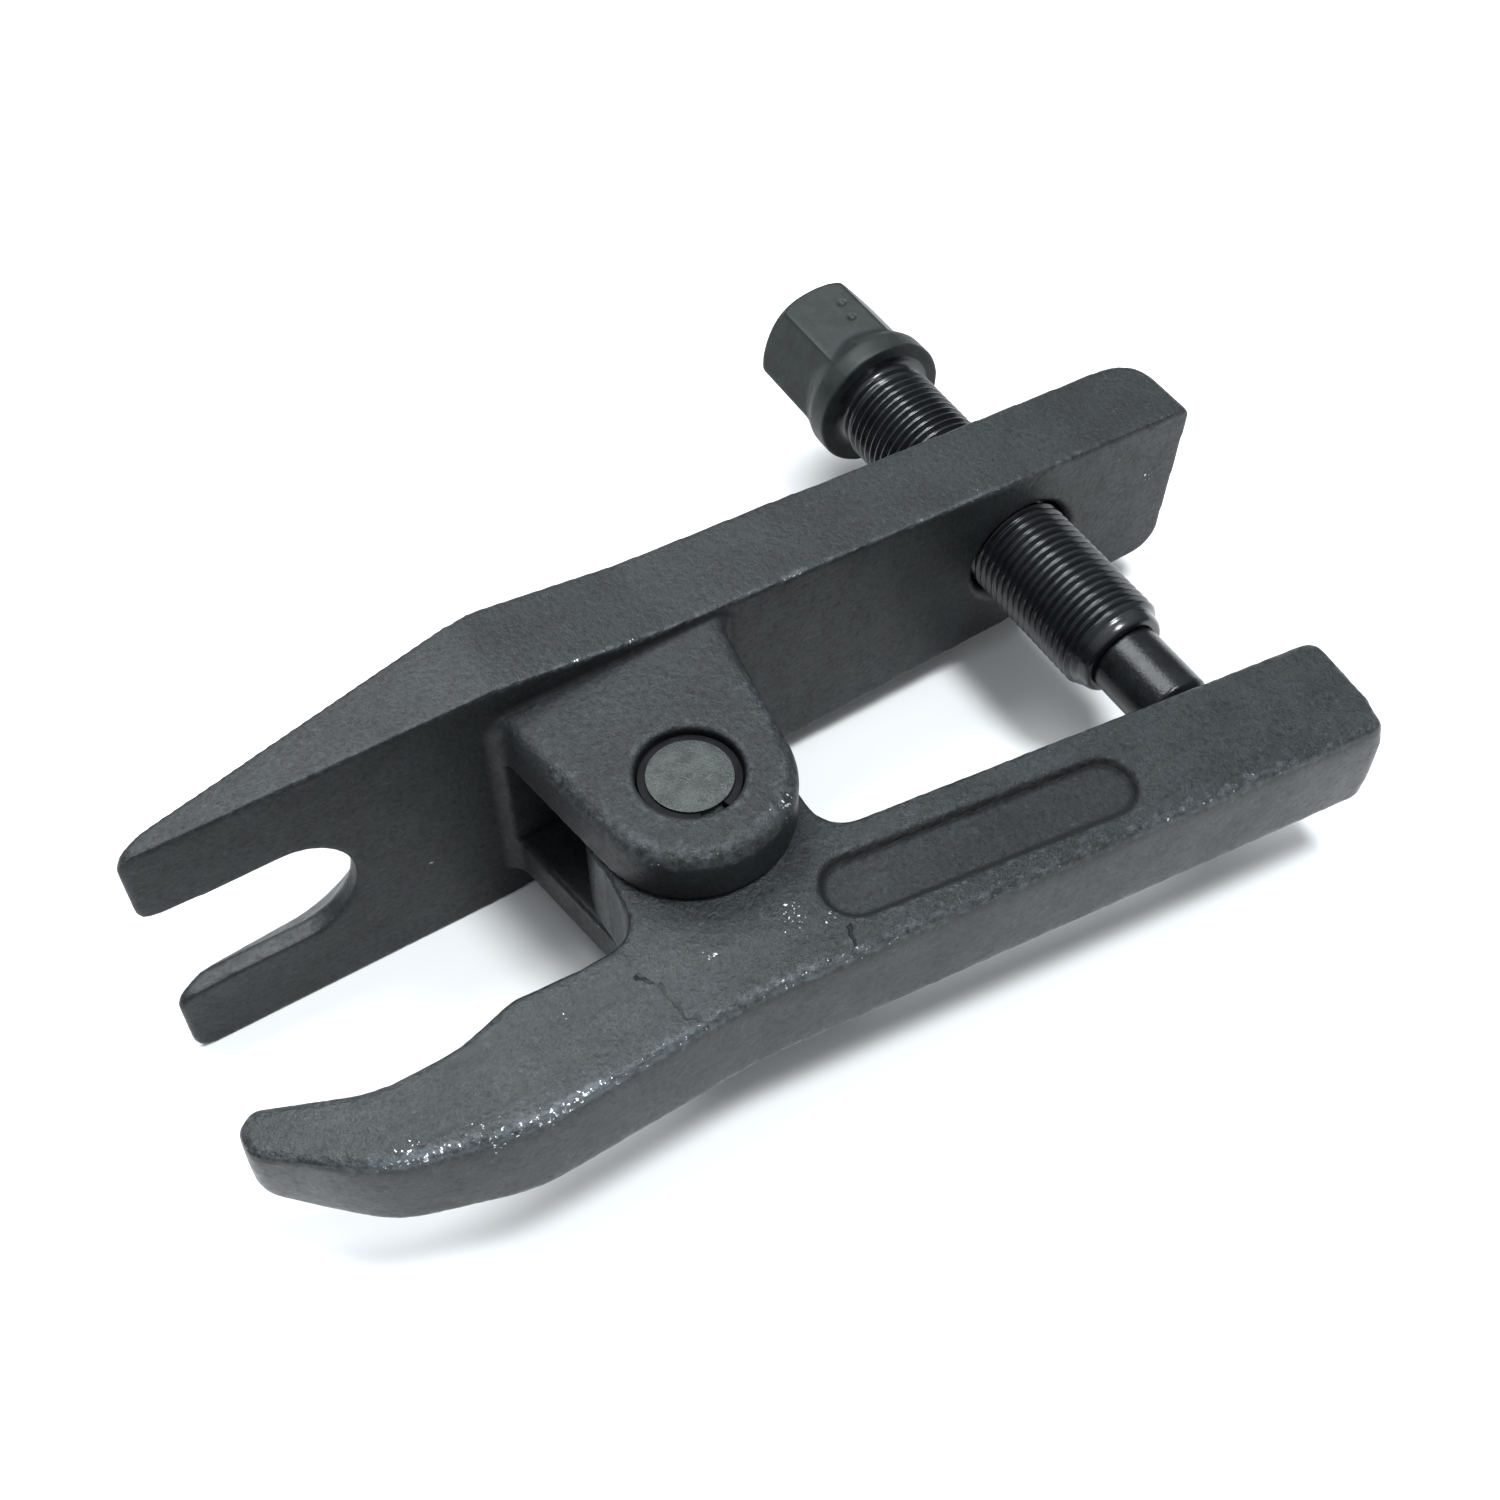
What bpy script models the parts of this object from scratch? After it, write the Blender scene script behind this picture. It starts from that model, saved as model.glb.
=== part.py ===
"""Ball joint separator: a forged fork arm and a forged lever arm that share a clevis
pivot, and a forcing screw that pushes on the lever's tail so that the jaw closes.

Dimensions are in millimetres in the tool's own plan: the pivot axis is at x = y = 0, the
fork tips point to -x, the screw head to +y, and z = 0 is the mid-plane. millimetres()
turns them into scene metres, with the origin below the middle of the tool's box.
"""

import math

import bpy
import bmesh

# --- Driving dimensions (mm) -----------------------------------------------------------
PLAN_MID_X, PLAN_MID_Y = 17.62, 23.19  # middle of the tool's box in plan
FORK_HALF = 25.25                      # half the fork's width, and the height of the mid-plane
FRONT_Y, BACK_Y = 23.0, 39.0           # working face and back of the fork arm
FORK_TIP_X, TAIL_X = -75.0, 111.2
TAIL_HALF = 15.9                       # half the arm's width at the screw end
SLOT_HALF, SLOT_END_X = 10.5, -54.5    # fork slot: half width, centre of its round end
PLATE_EDGE = 0.8                       # rounding of the plate's edges
RELIEF_Y = 26.1                        # the back is chamfered round the slot down to here

EAR_INNER, EAR_OUTER = 9.8, 19.5       # the clevis ears lie between these heights
EAR_R = 15.5
EAR_EDGE = 2.6
EAR_DRAFT_DEG = 8.5                    # the ears widen towards the fork arm by this, each side
CLEVIS_FLOOR_Y = 21.7

LEVER_HALF = 9.4
LEVER_EDGE = 1.2
JAW_TAPER = 0.039                      # the jaw thins towards its tip, per side
JAW_TAPER_FROM_X = -35.0
HUB_R = 15.75
RECESS_DEPTH, RECESS_R = 1.0, 5.1

PIN_R, PIN_HALF = 6.4, 18.6
BORE_R = 6.7                           # pivot bore in the ears and in the hub
COUNTERBORE_R, COUNTERBORE_FLOOR = 7.9, 16.6
RING_INNER_R, RING_OUTER_R = 5.9, 7.6
RING_LOW, RING_HIGH = 16.95, 18.05
GROOVE_R, GROOVE_LOW, GROOVE_HIGH = 5.6, 16.6, 18.35
RING_GAP_DEG = 34.0

SCREW_X = 78.0                         # pivot axis to screw axis
THREAD_R = 9.0                         # M18
THREAD_BORE_R = 9.4
THREAD_END_Y = -4.5
COLLAR_R, COLLAR_LOW, COLLAR_HIGH = 12.4, 65.0, 71.8
HEX_FLATS, HEAD_END_Y = 21.0, 87.7
NOSE_R, NOSE_SHANK_R = 6.2, 4.0
NOSE_TIP_Y, NOSE_DOME_R = -19.8, 9.0
RUNNING_GAP = 0.3


def millimetres(x, y, z):
    return ((x - PLAN_MID_X) / 1000, (y - PLAN_MID_Y) / 1000, (z + FORK_HALF) / 1000)


# --- Scene and collections -------------------------------------------------------------
for old in list(bpy.data.objects):
    bpy.data.objects.remove(old, do_unlink=True)

PARTS = bpy.data.collections.new("ball_joint_separator")
CUTTERS = bpy.data.collections.new("cutters")
for group in (PARTS, CUTTERS):
    bpy.context.scene.collection.children.link(group)


def material(name, colour, metallic, roughness):
    made = bpy.data.materials.new(name)
    made.use_nodes = True
    shader = made.node_tree.nodes["Principled BSDF"]
    shader.inputs["Base Color"].default_value = (*colour, 1.0)
    shader.inputs["Metallic"].default_value = metallic
    shader.inputs["Roughness"].default_value = roughness
    return made


def hide(obj):
    """Makes a helper of the object: it cuts or joins, and isn't part of the tool."""
    for group in list(obj.users_collection):
        group.objects.unlink(obj)
    CUTTERS.objects.link(obj)
    obj.hide_render = True
    obj.display_type = "WIRE"
    return obj


# --- Outlines --------------------------------------------------------------------------
def rounded(corners, step_deg=12.0):
    """A closed outline from (x, y, radius) corners, each radius swept as a short arc."""
    points = []
    for i, (x, y, radius) in enumerate(corners):
        if not radius:
            points.append((x, y))
            continue
        before, after = corners[i - 1], corners[(i + 1) % len(corners)]
        ax, ay = before[0] - x, before[1] - y
        bx, by = after[0] - x, after[1] - y
        la, lb = math.hypot(ax, ay), math.hypot(bx, by)
        ax, ay, bx, by = ax / la, ay / la, bx / lb, by / lb
        half = math.acos(max(-1.0, min(1.0, ax * bx + ay * by))) / 2
        reach = min(radius / math.tan(half), 0.49 * la, 0.49 * lb)
        radius = reach * math.tan(half)
        mx, my = ax + bx, ay + by
        lm = math.hypot(mx, my)
        cx, cy = x + mx / lm * radius / math.sin(half), y + my / lm * radius / math.sin(half)
        start = math.atan2(y + ay * reach - cy, x + ax * reach - cx)
        end = math.atan2(y + by * reach - cy, x + bx * reach - cx)
        sweep = (end - start + math.pi) % (2 * math.pi) - math.pi
        steps = max(1, round(abs(math.degrees(sweep)) / step_deg))
        for k in range(steps + 1):
            angle = start + sweep * k / steps
            points.append((cx + radius * math.cos(angle), cy + radius * math.sin(angle)))
    return points


def arc(cx, cy, radius, start_deg, end_deg, steps):
    angles = [math.radians(start_deg + (end_deg - start_deg) * k / steps) for k in range(steps + 1)]
    return [(cx + radius * math.cos(a), cy + radius * math.sin(a)) for a in angles]


# --- Solids ----------------------------------------------------------------------------
def keep_mesh(obj, name):
    """Replaces the object by its evaluated mesh, in place, with doubled points joined."""
    graph = bpy.context.evaluated_depsgraph_get()
    mesh = bpy.data.meshes.new_from_object(obj.evaluated_get(graph))
    mesh.transform(obj.matrix_world)
    bpy.data.objects.remove(obj, do_unlink=True)
    bm = bmesh.new()
    bm.from_mesh(mesh)
    bmesh.ops.remove_doubles(bm, verts=bm.verts, dist=1e-6)
    bmesh.ops.dissolve_limit(bm, angle_limit=math.radians(0.5), verts=bm.verts, edges=bm.edges)
    bmesh.ops.recalc_face_normals(bm, faces=bm.faces)
    bm.to_mesh(mesh)
    bm.free()
    made = bpy.data.objects.new(name, mesh)
    PARTS.objects.link(made)
    return made


def slab(name, outline, low, high, lie="plan"):
    """An outline extruded from low to high: along z in plan, y in elevation, x in section."""
    curve = bpy.data.curves.new(name + "_outline", "CURVE")
    curve.dimensions = "2D"
    curve.fill_mode = "BOTH"
    curve.extrude = (high - low) / 2000
    spline = curve.splines.new("POLY")
    spline.points.add(len(outline) - 1)
    for point, (x, y) in zip(spline.points, outline):
        point.co = (x / 1000, y / 1000, 0.0, 1.0)
    spline.use_cyclic_u = True
    obj = bpy.data.objects.new(name + "_outline", curve)
    PARTS.objects.link(obj)
    middle = (low + high) / 2
    if lie == "plan":
        obj.location = millimetres(0.0, 0.0, middle)
    elif lie == "elevation":
        obj.location = millimetres(0.0, middle, 0.0)
        obj.rotation_euler = (math.pi / 2, 0.0, 0.0)
    else:
        obj.location = millimetres(middle, 0.0, 0.0)
        obj.rotation_euler = (0.0, math.pi / 2, 0.0)
    bpy.context.view_layer.update()
    return keep_mesh(obj, name)


def turned(name, profile, steps=48, x=SCREW_X):
    """A profile of (radius, y) swept with a Screw modifier round an axis along y at x."""
    mesh = bpy.data.meshes.new(name + "_profile")
    mesh.from_pydata(
        [(r / 1000, y / 1000, 0.0) for r, y in profile],
        [(i, i + 1) for i in range(len(profile) - 1)],
        [],
    )
    obj = bpy.data.objects.new(name + "_profile", mesh)
    PARTS.objects.link(obj)
    obj.location = millimetres(x, 0.0, 0.0)
    sweep = obj.modifiers.new("turn", "SCREW")
    sweep.axis = "Y"
    sweep.steps = sweep.render_steps = steps
    sweep.use_merge_vertices = True
    sweep.merge_threshold = 1e-5
    bpy.context.view_layer.update()
    return keep_mesh(obj, name)


def upright(name, radius, low, high, steps=48, x=0.0, y=0.0):
    """A cylinder along z."""
    return slab(name, arc(x, y, radius, 0, 360 - 360 / steps, steps - 1), low, high)


def join(body, other, operation):
    step = body.modifiers.new(operation.lower(), "BOOLEAN")
    step.operation = operation
    step.solver = "EXACT"
    step.object = hide(other)


def round_edges(obj, width, segments=2, angle_deg=35.0):
    bevel = obj.modifiers.new("rounding", "BEVEL")
    bevel.width = width / 1000
    bevel.segments = segments
    bevel.limit_method = "ANGLE"
    bevel.angle_limit = math.radians(angle_deg)
    bevel.use_clamp_overlap = True


def fixed(obj):
    """The same object with its modifiers applied, so that later steps see plain faces."""
    name = obj.name
    obj.name = name + "_raw"
    return keep_mesh(obj, name)


def finish(obj, look):
    obj.data.materials.clear()
    obj.data.materials.append(look)


# --- Fork arm --------------------------------------------------------------------------
plan = rounded([
    (FORK_TIP_X, FRONT_Y, 0.8),
    (TAIL_X, FRONT_Y, 0.0),
    (TAIL_X, BACK_Y - 0.8, 8.5),
    (-14.0, BACK_Y, 20.0),
    (-70.0, 26.6, 6.0),
    (FORK_TIP_X, 24.4, 1.0),
])
elevation = rounded([
    (FORK_TIP_X, -FORK_HALF, 3.0),
    (-18.0, -FORK_HALF, 30.0),
    (10.0, -21.2, 60.0),
    (TAIL_X - 1.6, -TAIL_HALF, 5.0),
    (TAIL_X, TAIL_HALF, 2.0),
    (10.0, 21.2, 60.0),
    (-18.0, FORK_HALF, 30.0),
    (FORK_TIP_X, FORK_HALF, 3.0),
    (FORK_TIP_X, SLOT_HALF + 0.6, 2.5),
    (-66.0, SLOT_HALF, 0.0),
    (SLOT_END_X, SLOT_HALF, 0.0),
] + [(x, y, 0.0) for x, y in arc(SLOT_END_X, 0, SLOT_HALF, 75, -75, 10)] + [
    (SLOT_END_X, -SLOT_HALF, 0.0),
    (-66.0, -SLOT_HALF, 0.0),
    (FORK_TIP_X, -SLOT_HALF - 0.6, 2.5),
])
fork_arm = slab("fork_arm", plan, -30, 30)
join(fork_arm, slab("elevation", elevation, 10, 50, lie="elevation"), "INTERSECT")
fork_arm = fixed(fork_arm)
spread, low = BACK_Y - RELIEF_Y + 3, RELIEF_Y - 1
wedge = [
    (SLOT_HALF - 1, low), (SLOT_HALF + spread, RELIEF_Y + spread),
    (-SLOT_HALF - spread, RELIEF_Y + spread), (1 - SLOT_HALF, low),
]
relief = turned("relief", [(0, low), *wedge[:2], (0, RELIEF_Y + spread)], x=SLOT_END_X)
join(fork_arm, relief, "DIFFERENCE")
straight_relief = slab("straight_relief", wedge, FORK_TIP_X - 20, SLOT_END_X, lie="section")
join(fork_arm, straight_relief, "DIFFERENCE")
fork_arm = fixed(fork_arm)
round_edges(fork_arm, PLATE_EDGE)
fork_arm = fixed(fork_arm)

draft = math.radians(EAR_DRAFT_DEG)
flare_y = FRONT_Y - 3.4
flare_x = -(EAR_R + 3.5) / math.cos(draft) - flare_y * math.tan(draft)
ear_side = [(-30.0, 33.0), (-30.0, FRONT_Y + 0.1)]
ear_side += arc(flare_x, flare_y, 3.5, 90, EAR_DRAFT_DEG, 4)
ear_plan = ear_side + arc(0, 0, EAR_R, 180 + EAR_DRAFT_DEG, 360 - EAR_DRAFT_DEG, 20) + [(-x, y) for x, y in reversed(ear_side)]
clevis = slab("clevis", ear_plan, -EAR_OUTER, EAR_OUTER)
round_edges(clevis, EAR_EDGE, segments=3, angle_deg=60)
clevis = fixed(clevis)
gap = [(-40, -30), (40, -30), (40, CLEVIS_FLOOR_Y), (-40, CLEVIS_FLOOR_Y)]
join(clevis, slab("clevis_gap", gap, -EAR_INNER, EAR_INNER), "DIFFERENCE")
join(fork_arm, fixed(clevis), "UNION")

join(fork_arm, upright("ear_bore", BORE_R, -30, 30), "DIFFERENCE")
for side, low, high in (("upper", COUNTERBORE_FLOOR, 30), ("lower", -30, -COUNTERBORE_FLOOR)):
    join(fork_arm, upright("counterbore_" + side, COUNTERBORE_R, low, high), "DIFFERENCE")
bore_profile = [
    (0, 10), (THREAD_BORE_R + 14.2, 10), (THREAD_BORE_R, FRONT_Y + 1.2),
    (THREAD_BORE_R, BACK_Y - 1.8), (THREAD_BORE_R + 14.2, 52.4), (0, 52.4),
]
join(fork_arm, turned("screw_bore", bore_profile), "DIFFERENCE")
finish(fork_arm, material("fork_arm", (0.035, 0.038, 0.04), 0.55, 0.5))

# --- Lever arm -------------------------------------------------------------------------
lever_outline = (
    arc(0, 0, HUB_R, -8, 188, 22)
    + rounded([
        (-15.6, -2.2, 0.0), (-16.9, -14.0, 7.5), (-26.5, -14.3, 0.0), (-36.8, -13.7, 3.0),
        (-46.5, -16.4, 20.0), (-58.5, -16.0, 22.0), (-73.0, -9.6, 1.0), (-75.7, -11.2, 1.6),
        (-76.1, -15.4, 3.0), (-62.8, -26.5, 26.0), (-44.0, -32.3, 30.0), (-8.0, -31.3, 90.0),
        (97.9, -41.5, 1.8), (99.4, -22.65, 2.6), (14.9, -12.85, 8.0), (15.6, -2.2, 0.0),
    ], step_deg=9.0)[1:-1]
)
lever_arm = slab("lever_arm", lever_outline, -LEVER_HALF, LEVER_HALF)
for vertex in lever_arm.data.vertices:
    beyond = JAW_TAPER_FROM_X - (vertex.co.x * 1000 + PLAN_MID_X)
    middle = FORK_HALF / 1000
    if beyond > 0:
        vertex.co.z = middle + (vertex.co.z - middle) * (1 - JAW_TAPER * beyond / LEVER_HALF)
round_edges(lever_arm, LEVER_EDGE, angle_deg=50)
lever_arm = fixed(lever_arm)
join(lever_arm, upright("hub_bore", BORE_R, -30, 30), "DIFFERENCE")
recess = arc(13.4, -22.9, RECESS_R, 83, 263, 12) + arc(53.6, -27.9, RECESS_R, -97, 83, 12)
join(lever_arm, slab("recess", recess, LEVER_HALF - RECESS_DEPTH, 30), "DIFFERENCE")
finish(lever_arm, material("lever_arm", (0.045, 0.048, 0.05), 0.55, 0.5))

# --- Pivot pin and its snap rings ------------------------------------------------------
pivot_pin = upright("pivot_pin", PIN_R, -PIN_HALF, PIN_HALF)
round_edges(pivot_pin, 0.6, segments=1, angle_deg=60)
pivot_pin = fixed(pivot_pin)
for side, sign in (("upper", 1), ("lower", -1)):
    low, high = sorted((sign * GROOVE_LOW, sign * GROOVE_HIGH))
    groove = upright("groove_" + side, PIN_R + 2, low, high)
    join(groove, upright("groove_core_" + side, GROOVE_R, low - 1, high + 1), "DIFFERENCE")
    join(pivot_pin, fixed(groove), "DIFFERENCE")
finish(pivot_pin, material("pivot_pin", (0.30, 0.30, 0.30), 0.9, 0.38))

ring_look = material("retaining_rings", (0.02, 0.02, 0.02), 0.6, 0.45)
half_gap = RING_GAP_DEG / 2
ring_outline = (
    arc(0, 0, RING_OUTER_R, -90 + half_gap, 270 - half_gap, 40)
    + arc(0, 0, RING_INNER_R, 270 - half_gap, -90 + half_gap, 40)
)
for name, low, high in (
    ("retaining_ring_upper", RING_LOW, RING_HIGH),
    ("retaining_ring_lower", -RING_HIGH, -RING_LOW),
):
    finish(slab(name, ring_outline, low, high), ring_look)

# --- Forcing screw ---------------------------------------------------------------------
forcing_screw = turned("forcing_screw", [
    (0, THREAD_END_Y + 9.5), (NOSE_SHANK_R + RUNNING_GAP, THREAD_END_Y + 9.5),
    (NOSE_SHANK_R + RUNNING_GAP, THREAD_END_Y), (THREAD_R - 1.5, THREAD_END_Y),
    (THREAD_R, THREAD_END_Y + 1.5), (THREAD_R, COLLAR_LOW - 0.6),
    (THREAD_R + 0.6, COLLAR_LOW), (COLLAR_R - 1.2, COLLAR_LOW),
    (COLLAR_R - 0.3, COLLAR_LOW + 0.5), (COLLAR_R, COLLAR_LOW + 1.4),
    (COLLAR_R, COLLAR_HIGH - 2.2), (COLLAR_R - 0.5, COLLAR_HIGH - 0.9),
    (COLLAR_R - 1.6, COLLAR_HIGH), (0, COLLAR_HIGH),
])
hex_r = HEX_FLATS / math.sqrt(3)
hex_outline = arc(SCREW_X, 0, hex_r, 8, 308, 5)
hex_head = slab("hex_head", hex_outline, COLLAR_HIGH - 2.0, HEAD_END_Y, lie="elevation")
crown = turned("hex_crown", [
    (0, 60), (hex_r + 0.1, 60), (hex_r + 0.1, HEAD_END_Y - 2.9), (hex_r - 0.5, HEAD_END_Y - 1.6),
    (hex_r - 1.7, HEAD_END_Y - 0.5), (hex_r - 2.9, HEAD_END_Y), (0, HEAD_END_Y + 0.01),
])
join(hex_head, crown, "INTERSECT")
join(forcing_screw, fixed(hex_head), "UNION")
finish(forcing_screw, material("forcing_screw", (0.02, 0.021, 0.023), 0.7, 0.3))

# --- Thrust nose -----------------------------------------------------------------------
dome_edge = math.asin(NOSE_R / NOSE_DOME_R)
dome = [
    (NOSE_DOME_R * math.sin(dome_edge * k / 6),
     NOSE_TIP_Y + NOSE_DOME_R * (1 - math.cos(dome_edge * k / 6)))
    for k in range(7)
]
shoulder = THREAD_END_Y - RUNNING_GAP
thrust_nose = turned("thrust_nose", dome + [
    (NOSE_R, shoulder - 0.5), (NOSE_R - 0.5, shoulder), (NOSE_SHANK_R, shoulder),
    (NOSE_SHANK_R, THREAD_END_Y + 8.7), (NOSE_SHANK_R - 0.5, THREAD_END_Y + 9.2),
    (0, THREAD_END_Y + 9.2),
])
finish(thrust_nose, material("thrust_nose", (0.09, 0.09, 0.09), 0.9, 0.2))
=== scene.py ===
"""Looks of the ball joint separator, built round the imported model.

Shapes are made in millimetres in the tool's own plan: the pivot axis is at x = y = 0, the
fork tips point to -x, the screw head to +y, and z = 0 is the mid-plane. place() moves a
finished mesh into the row frame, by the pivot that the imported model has.
"""

import itertools
import math

import bmesh
import bpy
import numpy as np
from mathutils import Matrix, Vector


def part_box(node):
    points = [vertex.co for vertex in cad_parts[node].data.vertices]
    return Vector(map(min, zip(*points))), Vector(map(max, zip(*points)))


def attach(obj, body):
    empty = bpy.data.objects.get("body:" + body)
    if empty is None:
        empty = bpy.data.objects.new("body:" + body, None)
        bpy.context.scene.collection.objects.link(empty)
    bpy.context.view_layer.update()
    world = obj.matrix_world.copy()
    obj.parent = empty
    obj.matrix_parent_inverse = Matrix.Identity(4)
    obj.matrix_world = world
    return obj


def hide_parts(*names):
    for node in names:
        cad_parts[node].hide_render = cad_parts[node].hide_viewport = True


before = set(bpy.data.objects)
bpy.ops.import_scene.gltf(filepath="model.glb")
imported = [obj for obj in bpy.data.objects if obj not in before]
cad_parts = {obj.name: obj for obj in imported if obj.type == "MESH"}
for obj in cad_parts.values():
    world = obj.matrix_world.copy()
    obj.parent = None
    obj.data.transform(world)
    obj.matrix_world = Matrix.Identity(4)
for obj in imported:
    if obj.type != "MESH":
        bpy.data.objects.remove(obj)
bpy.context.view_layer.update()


def middle_of(node):
    """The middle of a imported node's box."""
    low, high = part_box(node)
    return (low + high) / 2


PIVOT = middle_of("pivot_pin")
SCREW_X = (middle_of("thrust_nose").x - PIVOT.x) * 1000

# --- Dimensions (mm) -------------------------------------------------------------------
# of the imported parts
FORK_HALF = 25.25
FRONT_Y, BACK_Y = 23.0, 39.0
FORK_TIP_X, TAIL_X, TAIL_HALF = -75.0, 111.2, 15.9
SLOT_HALF, SLOT_END_X = 10.5, -54.5
PLATE_EDGE, RELIEF_Y = 0.8, 26.1
EAR_INNER, EAR_OUTER, EAR_R, EAR_EDGE, EAR_DRAFT_DEG = 9.8, 19.5, 15.5, 2.6, 8.5
CLEVIS_FLOOR_Y = 21.7
LEVER_HALF, JAW_TAPER, JAW_TAPER_FROM_X, HUB_R = 9.4, 0.039, -35.0, 15.75
RECESS_START, RECESS_END = (13.4, -22.9), (53.6, -27.9)
PIN_R, PIN_HALF, BORE_R = 6.4, 18.6, 6.7
PIVOT_BORE = ((0, -30), (BORE_R, -30), (BORE_R, 30), (0, 30))
COUNTERBORE_R, COUNTERBORE_FLOOR = 7.9, 16.6
RING_INNER_R, RING_OUTER_R, RING_LOW, RING_HIGH, RING_GAP_DEG = 5.9, 7.6, 16.95, 18.05, 34.0
GROOVE_R, GROOVE_LOW, GROOVE_HIGH = 5.6, 16.6, 18.35
THREAD_R, THREAD_BORE_R, THREAD_END_Y = 9.0, 9.4, -4.5
COLLAR_R, COLLAR_LOW = 12.4, 65.0
HEX_FLATS, HEX_TURN_DEG, HEAD_END_Y = 21.0, 8.0, 87.7
NOSE_R, NOSE_SHANK_R, NOSE_TIP_Y, NOSE_DOME_R = 6.2, 4.0, -19.8, 9.0
NOSE_HOLE_GAP = 0.3

# of what only the look has: a lifted toe, sloping recess walls, soft edges, the real thread
TOE_FROM_X, TOE_TIP_X, TOE_LIFT = -60.5, -76.0, 5.2
RECESS_DEPTH, RECESS_RIM_R, RECESS_FLOOR_R = 1.4, 5.6, 4.4
LEVER_EDGE = 0.744
THREAD_PITCH, THREAD_DEPTH = 1.5, 0.92
THREAD_FORM = (  # (share of the pitch from a crest, share of the depth below it)
    (0.0, 0.0), (0.06, 0.01), (0.11, 0.09), (0.36, 0.86), (0.42, 0.98), (0.5, 1.0),
    (0.58, 0.98), (0.64, 0.86), (0.89, 0.09), (0.94, 0.01),
)
POINT_LENGTH, POINT_R = 2.0, 7.95  # of the plain end below the last thread
THREAD_HIGH = COLLAR_LOW - 1.6
NECK_R = POINT_R + 0.15  # between the thread and the collar
NICK_AT_DEG, NICK_WIDTH_DEG, NICK_DEPTH, NICK_HIGH = 104.0, 1.5, 0.2, 13.0
PUNCH_MARKS, PUNCH_R, PUNCH_DEPTH = ((79.8, 80.9, 10.85), (79.3, 76.9, 10.8)), 0.8, 0.35
SHOULDER_GAP = 0.12
HEAD_CROWN = (  # (depths below the head's end, radii over the hexagon's corner)
    (0.0, 0.2, 0.5, 1.0, 1.6, 2.2, 2.9, 30.0),
    (-2.9, -2.3, -1.7, -1.0, -0.5, -0.15, 0.1, 1.5),
)
COLLAR_FORM = (  # (heights over the collar's low face, radii over the collar's)
    (0.0, 0.1, 0.25, 0.45, 3.4, 4.0, 4.6, 5.4, 6.2, 7.0, 7.8, 8.6),
    (-0.42, -0.2, -0.07, 0.0, 0.0, -0.06, -0.25, -0.6, -1.05, -1.55, -2.1, -3.0),
)

# of the skin: its grid, and how far a point on a sharp or soft edge stands out from the
# middle of its neighbours
VOXEL, SHARP, SOFT = 0.42, 0.05, 0.03
MAX_TRIANGLES = 196000  # of each forging

# where the finish is worn through: ((x, y, z), size)
WORN_FORK = (
    ((104.0, FRONT_Y, 3.0), 3.0), ((68.0, FRONT_Y + 1, 18.5), 1.6), ((-33.0, FRONT_Y, -7.0), 1.5),
    ((9.0, -11.5, 18.6), 2.2),
)
WORN_LEVER = (
    ((3.0, -22.5, 9.4), 3.6), ((7.0, -25.5, 9.4), 1.8), ((-48.6, -30.6, 8.6), 3.6),
    ((-10.0, -22.0, 9.4), 1.3), ((-32.0, -20.0, 9.4), 1.3), ((-58.5, -26.0, 8.4), 2.4),
    ((-41.0, -32.0, 8.6), 2.8), ((-54.0, -28.8, 8.4), 2.4),
)
# hairlines on the lever's face: (start, end, width)
CRACKS = (
    ((-18.4, -22.5), (-18.1, -27.3), 0.48), ((-18.1, -27.3), (-16.6, -30.0), 0.44),
    ((8.4, -28.6), (8.0, -32.0), 0.36), ((-18.7, -22.0), (-20.4, -19.4), 0.34),
)


# --- Outlines and solids ---------------------------------------------------------------
def rounded(corners, step_deg=3.0):
    """A closed outline from (x, y, radius) corners, each radius swept as a fine arc."""
    points = []
    for i, (x, y, radius) in enumerate(corners):
        if not radius:
            points.append((x, y))
            continue
        before, after = corners[i - 1], corners[(i + 1) % len(corners)]
        ax, ay = before[0] - x, before[1] - y
        bx, by = after[0] - x, after[1] - y
        la, lb = math.hypot(ax, ay), math.hypot(bx, by)
        ax, ay, bx, by = ax / la, ay / la, bx / lb, by / lb
        half = math.acos(max(-1.0, min(1.0, ax * bx + ay * by))) / 2
        reach = min(radius / math.tan(half), 0.49 * la, 0.49 * lb)
        radius = reach * math.tan(half)
        mx, my = ax + bx, ay + by
        lm = math.hypot(mx, my)
        cx, cy = x + mx / lm * radius / math.sin(half), y + my / lm * radius / math.sin(half)
        start = math.atan2(y + ay * reach - cy, x + ax * reach - cx)
        end = math.atan2(y + by * reach - cy, x + bx * reach - cx)
        sweep = (end - start + math.pi) % (2 * math.pi) - math.pi
        steps = max(2, round(abs(math.degrees(sweep)) / step_deg))
        for k in range(steps + 1):
            angle = start + sweep * k / steps
            points.append((cx + radius * math.cos(angle), cy + radius * math.sin(angle)))
    return points


def arc(cx, cy, radius, start_deg, end_deg, steps):
    """Points along an arc, with both of its ends."""
    angles = [math.radians(start_deg + (end_deg - start_deg) * k / steps) for k in range(steps + 1)]
    return [(cx + radius * math.cos(a), cy + radius * math.sin(a)) for a in angles]


def mesh_object(name, verts, faces):
    """A mesh object with doubled points merged and its faces turned outwards."""
    mesh = bpy.data.meshes.new(name)
    mesh.from_pydata(verts, [], faces)
    bm = bmesh.new()
    bm.from_mesh(mesh)
    bmesh.ops.remove_doubles(bm, verts=bm.verts, dist=1e-5)
    bmesh.ops.recalc_face_normals(bm, faces=bm.faces)
    bm.to_mesh(mesh)
    bm.free()
    obj = bpy.data.objects.new(name, mesh)
    bpy.context.scene.collection.objects.link(obj)
    return obj


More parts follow.
